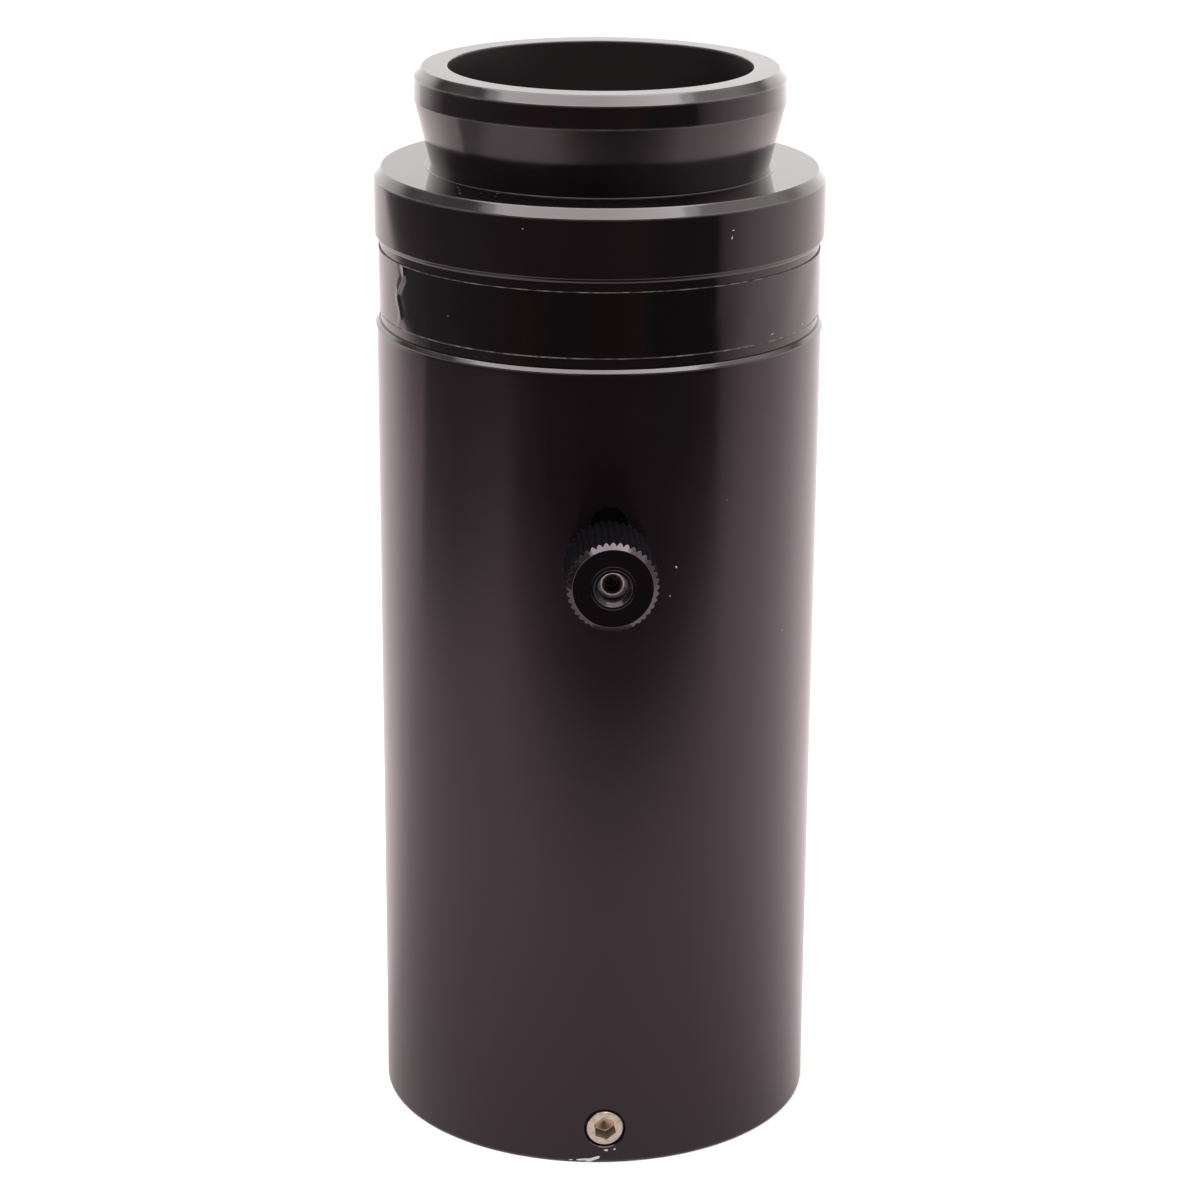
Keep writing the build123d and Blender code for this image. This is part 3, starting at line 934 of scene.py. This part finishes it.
def add_mirrored_table():
    """Card that only reflections see: two sheets of paper on a dark table, and the far room. The
    paper is shaded close to the adapter. Its edges are in metres from the optical axis."""
    material, tree = new_material("Table seen in reflections")
    place = add_node(tree, "ShaderNodeTexCoord").outputs["Object"]
    split = add_node(tree, "ShaderNodeSeparateXYZ", {0: place})
    x, y = split.outputs["X"], split.outputs["Y"]
    away = add_node(tree, "ShaderNodeVectorMath", {0: place}, operation="LENGTH")
    away = away.outputs["Value"]
    slanted = add_node(tree, "ShaderNodeMath", {0: x, 1: -0.1, 2: y}, operation="MULTIPLY_ADD")
    seen = surroundings(tree, x, y, [
        (TABLE_LIGHT, []),
        (FAR_LIGHT, [(away, 0.225, 0.30)]),
        (PAPER_LIGHT, [(slanted, -0.137, -0.097), (x, -0.168, -0.156), (away, 0.30, 0.16)]),
        (PAPER_LIGHT, [(y, 0.035, 0.055), (x, -0.280, -0.270), (x, 0.05, -0.05)]),
        (ROOM_LIGHT, [(away, 0.46, 0.60)]),
    ])
    shaded = add_node(tree, "ShaderNodeMapRange", {
        "Value": away, "From Min": 0.02, "From Max": 0.08, "To Min": 0.72 * BRIGHTEST,
        "To Max": BRIGHTEST})
    glow = add_node(tree, "ShaderNodeEmission", {"Color": seen, "Strength": shaded})
    add_node(tree, "ShaderNodeOutputMaterial", {"Surface": glow})
    material.cycles.emission_sampling = "NONE"
    card = add_plane("table_card", material, half_size=3.0)
    card.visible_camera = card.visible_diffuse = False
    card.visible_transmission = card.visible_shadow = False


def add_room(stage):
    """Even white light from the room, and the room as reflections see it."""
    world = bpy.data.worlds.new("Soft white room")
    world.use_nodes = True
    world.cycles.sampling_method = "NONE"
    tree = world.node_tree
    tree.nodes.clear()
    direction = add_node(tree, "ShaderNodeTexCoord").outputs["Generated"]
    x, y, z = add_node(tree, "ShaderNodeSeparateXYZ", {0: direction}).outputs
    room = surroundings(tree, x, y, [(ROOM_LIGHT, []), (UPPER_LIGHT, [(z, 0.34, 0.47)])])
    mirrored = add_node(tree, "ShaderNodeBackground", {"Color": room, "Strength": BRIGHTEST})
    even = add_node(tree, "ShaderNodeBackground", {"Color": tinted(stage.sky), "Strength": 1.0})
    glossy = add_node(tree, "ShaderNodeLightPath").outputs["Is Glossy Ray"]
    both = add_node(tree, "ShaderNodeMixShader", {0: glossy, 1: even, 2: mirrored})
    add_node(tree, "ShaderNodeOutputWorld", {"Surface": both})
    bpy.context.scene.world = world


def add_softbox(name, width, height, power):
    """Soft rectangular light in front, overhead."""
    light = bpy.data.lights.new(name, "AREA")
    light.shape = "RECTANGLE"
    light.size, light.size_y = width, SOFTBOX_DEPTH
    light.energy = power
    new_object(name, light).location = (*SOFTBOX_PLACE, height)


def add_camera(stage):
    """Camera at the viewing angle of the photograph."""
    side, ahead = math.sin(stage.azimuth), math.cos(stage.azimuth)
    level = Vector((side, ahead, 0))
    right = Vector((ahead, -side, 0))
    view = level * math.cos(stage.pitch) - Vector((0, 0, 1)) * math.sin(stage.pitch)
    up = right.cross(view)
    turn = Matrix((right, up, -view)).transposed()
    data = bpy.data.cameras.new("camera")
    data.sensor_width = 36.0
    data.lens = stage.focal
    data.shift_x = stage.shift
    data.clip_start, data.clip_end = 0.01, 20.0
    camera = new_object("camera", data)
    place = Matrix.Translation(-level * stage.distance + Vector((0, 0, stage.height)))
    camera.matrix_world = place @ turn.to_4x4() @ Matrix.Rotation(stage.roll, 4, "Z")
    return camera


# Operators


class BuildTube(Operator):
    """Turns the body tube and cuts its slot and screw hole"""
    bl_idname = "rear_adapter.body_tube"
    bl_label = "Body tube"

    def execute(self, context):
        finish = turned_anodised_aluminium("Black anodised tube", settings().finishes.anodise,
                                           roughness=0.17)
        add_piece(tube_mesh(settings().tube), [finish], "tube", "anodised_black", "body_tube")
        return {"FINISHED"}


class BuildHead(Operator):
    """Turns the head with its flange and dovetail ring"""
    bl_idname = "rear_adapter.dovetail_head"
    bl_label = "Dovetail head"

    def execute(self, context):
        finishes = settings().finishes
        outside = turned_anodised_aluminium("Black anodised head", finishes.head,
                                            roughness=0.09, tint="fff5f7")
        bore = turned_anodised_aluminium("Black anodised bore", finishes.bore,
                                         roughness=0.4, tint="fff5f7", draw=0.4)
        add_piece(head_mesh(settings().head), [outside, bore], "tube", "anodised_black",
                  "dovetail_head")
        return {"FINISHED"}


class BuildLabel(Operator):
    """Wraps the label film round its seat"""
    bl_idname = "rear_adapter.label"
    bl_label = "Label film"

    def execute(self, context):
        finishes = settings().finishes
        film = glossy_label_film("Glossy polyester film", finishes.film)
        # The film's edge material is the pale cut edge with a painted highlight.
        edge = film_edge_with_painted_highlight("Knife-cut film edge", finishes.film_edge)
        mesh = label_mesh(settings().label, settings().head.seat_radius)
        add_piece(mesh, [film, edge], "tube", "label_film", "label_band")
        return {"FINISHED"}


class BuildKnob(Operator):
    """Cuts the knurled clamp knob"""
    bl_idname = "rear_adapter.clamp_knob"
    bl_label = "Clamp knob"

    def execute(self, context):
        finishes = settings().finishes
        face = turned_anodised_aluminium("Black anodised knob face", finishes.anodise,
                                         roughness=0.12, axis="Y", draw=0.3)
        flank = turned_anodised_aluminium("Black anodised knurl", finishes.knob, roughness=0.28,
                                          axis="Y", tint="f8eef4", ior=1.6, draw=0.0)
        sink = turned_anodised_aluminium("Black anodised countersink", finishes.knob,
                                         roughness=0.22, axis="Y", tint="b6aab0", draw=0.0)
        add_piece(knob_mesh(settings().knob), [face, flank, sink], "knob", "knob_black",
                  "clamp_knob")
        return {"FINISHED"}


class BuildStud(Operator):
    """Makes the clamp's socket stud"""
    bl_idname = "rear_adapter.clamp_stud"
    bl_label = "Clamp stud"

    def execute(self, context):
        sizes, finishes = settings().screws, settings().finishes
        steel = machined_steel("Worn alloy steel", finishes.alloy_steel,
                               roughness=0.3, wear=0.25, metal=0.35)
        # The upward faces of its socket get painted shade.
        socket = machined_steel("Socket of the alloy stud", finishes.alloy_socket,
                                roughness=0.35, wear=0.6, metal=0.7, upward_shade=0.8)
        rings = countersunk_socket(sizes.stud_mouth, sizes.stud_flats, sizes.stud_depth)
        mesh = socket_screw_mesh("clamp_stud_threaded", "stud", CLAMP_HEIGHT, -STUD_HIGH.y, rings)
        add_piece(mesh, [steel, socket], "carrier", "alloy_steel", "clamp_stud")
        return {"FINISHED"}


class BuildSetScrew(Operator):
    """Makes the stainless set screw at the coupler bore"""
    bl_idname = "rear_adapter.set_screw"
    bl_label = "Set screw"

    def execute(self, context):
        sizes, finishes = settings().screws, settings().finishes
        steel = machined_steel("Machined stainless steel", finishes.stainless,
                               roughness=0.26, wear=0.4)
        # The upward faces of its socket get painted shade.
        socket = machined_steel("Socket of the set screw", finishes.steel_socket,
                                roughness=0.35, wear=0.35, metal=0.3, upward_shade=0.93)
        rings = worn_socket(sizes.screw_mouth_flats, sizes.screw_flats, sizes.screw_depth)
        mesh = socket_screw_mesh("coupler_set_screw_threaded", "screw", SCREW_HEIGHT,
                                 -SCREW_HIGH.y, rings)
        add_piece(mesh, [steel, socket], "screw", "stainless_steel", "coupler_set_screw")
        return {"FINISHED"}


class FinishInside(Operator):
    """Gives the washer, the pad, the lens carrier, its rings and the glass their finishes"""
    bl_idname = "rear_adapter.inside"
    bl_label = "Inner pieces"

    def execute(self, context):
        finishes = settings().finishes
        matte = turned_anodised_aluminium("Matte anodised carrier", finishes.matte,
                                          roughness=0.5, line=0.3, tint="ffffff", draw=0.3)
        glass = coated_optical_glass("Coated optical glass", finishes.coating)
        nylon = moulded_nylon("Moulded black nylon", finishes.nylon)
        brass = turned_brass("Turned brass", finishes.brass)
        for material, nodes in (
                (matte, ("lens_carrier", "lens_retaining_ring", "lens_spacer", "glare_stop")),
                (glass, ("front_lens_convex", "front_lens_concave", "rear_lens_convex",
                         "rear_lens_concave")),
                (nylon, ("saddle_washer",)), (brass, ("coupler_screw_pad",))):
            for node in nodes:
                if node not in NODES:
                    raise RuntimeError(f"the frame has no node {node}")
                NODES[node].data.materials.clear()
                NODES[node].data.materials.append(material)
        return {"FINISHED"}


# Chips as (degrees right of the knob, height or radius, length, width, lean in degrees), in mm.
CHIPS_ON_WALL = [
    (-8.9, 0.22, 0.45, 0.14, 0), (-5.6, 0.28, 1.90, 0.26, 4), (-3.1, 0.36, 1.60, 0.46, 18),
    (0.4, 1.19, 0.60, 0.24, 0), (2.6, 1.29, 0.32, 0.20, 30), (17.1, 54.33, 0.26, 0.14, -40),
    (15.6, 51.86, 0.14, 0.10, 60), (31.2, 59.49, 0.12, 0.08, 0), (53.1, 46.41, 0.12, 0.08, 20)]
CHIPS_ON_FLANGE = [(31.0, 81.55, 0.40, 0.12, 75), (31.4, 82.15, 0.25, 0.10, 10),
                   (-21.5, 82.66, 0.12, 0.08, 0)]
CHIPS_ON_FACE = [
    (-58.0, 16.90, 0.30, 0.06, 10), (-51.0, 15.60, 0.35, 0.05, -15), (-47.4, 16.23, 0.25, 0.05, 5),
    (-44.0, 17.20, 0.30, 0.05, 0), (-40.0, 16.00, 0.22, 0.05, 25), (-35.4, 15.40, 0.28, 0.05, -5),
    (-33.7, 16.40, 0.20, 0.05, 10), (-62.0, 15.40, 0.25, 0.05, 40)]
CHIPS_ON_LABEL = [(46.3, 72.74, 0.50, 0.05, 15), (61.3, 72.62, 0.40, 0.05, -20),
                  (-43.7, 74.56, 0.12, 0.06, 0)]


class BuildMarks(Operator):
    """Adds the chips and nicks that show bare metal"""
    bl_idname = "rear_adapter.marks"
    bl_label = "Chips and nicks"

    def execute(self, context):
        bare = machined_steel("Bare aluminium in chips", settings().finishes.bare,
                              roughness=0.4, wear=0.2, metal=0.5)
        wall = settings().tube.radius
        head = settings().head
        label = head.seat_radius + settings().label.thickness + settings().label.ripple
        marks = []
        for radius, height, slope, chips in (
                (wall, 0, 0, CHIPS_ON_WALL), (head.flange_radius, 0, 0, CHIPS_ON_FLANGE),
                (0, head.flange_top, 90, CHIPS_ON_FACE), (label, 0, 0, CHIPS_ON_LABEL)):
            for front, place, length_mm, width_mm, lean in chips:
                marks.append((radius or place * MM, front, height or place * MM,
                              length_mm * MM, width_mm * MM, lean, slope))
        add_piece(flakes_mesh("tube_chips", marks), [bare], "tube", "anodised_black")
        return {"FINISHED"}


class BuildStage(Operator):
    """Lays the pale floor and sets the soft light and the camera"""
    bl_idname = "rear_adapter.stage"
    bl_label = "Stage"

    def execute(self, context):
        stage = settings().stage
        add_floor(stage)
        add_mirrored_table()
        add_room(stage)
        add_softbox("softbox", width=0.92, height=0.75, power=0.61 * stage.softbox)
        add_softbox("softbox_rim", width=1.10, height=0.77, power=0.50 * stage.softbox)
        context.scene.camera = add_camera(stage)
        context.scene.view_settings.view_transform = "Standard"
        return {"FINISHED"}


class AdapterPanel(Panel):
    """Lists the pieces and the sizes and colours that they are built from"""
    bl_idname = "VIEW3D_PT_rear_adapter"
    bl_label = "Rear adapter"
    bl_space_type = "VIEW_3D"
    bl_region_type = "UI"
    bl_category = "Adapter"

    def draw(self, context):
        for operator in PIECES:
            self.layout.operator(operator.bl_idname)
        for group in settings().bl_rna.properties:
            if group.type == "POINTER" and group.identifier != "rna_type":
                box = self.layout.box()
                box.label(text=group.name or group.identifier)
                values = getattr(settings(), group.identifier)
                for value in values.bl_rna.properties:
                    if value.identifier not in ("rna_type", "name"):
                        box.prop(values, value.identifier)


PIECES = (BuildTube, BuildHead, BuildLabel, BuildKnob, BuildStud, BuildSetScrew, FinishInside,
          BuildMarks, BuildStage)
GROUPS = (TubeSizes, HeadSizes, LabelSizes, KnobSizes, ScrewSizes, Finishes, StageSettings,
          AdapterSettings)


def register():
    for entry in GROUPS + PIECES + (AdapterPanel,):
        bpy.utils.register_class(entry)
    bpy.types.Scene.rear_adapter = PointerProperty(type=AdapterSettings)


def unregister():
    del bpy.types.Scene.rear_adapter
    for entry in reversed(GROUPS + PIECES + (AdapterPanel,)):
        bpy.utils.unregister_class(entry)


def main():
    """Builds every piece and the stage."""
    register()
    for operator in PIECES:
        group, name = operator.bl_idname.split(".")
        getattr(getattr(bpy.ops, group), name)()


if __name__ == "__main__":
    main()
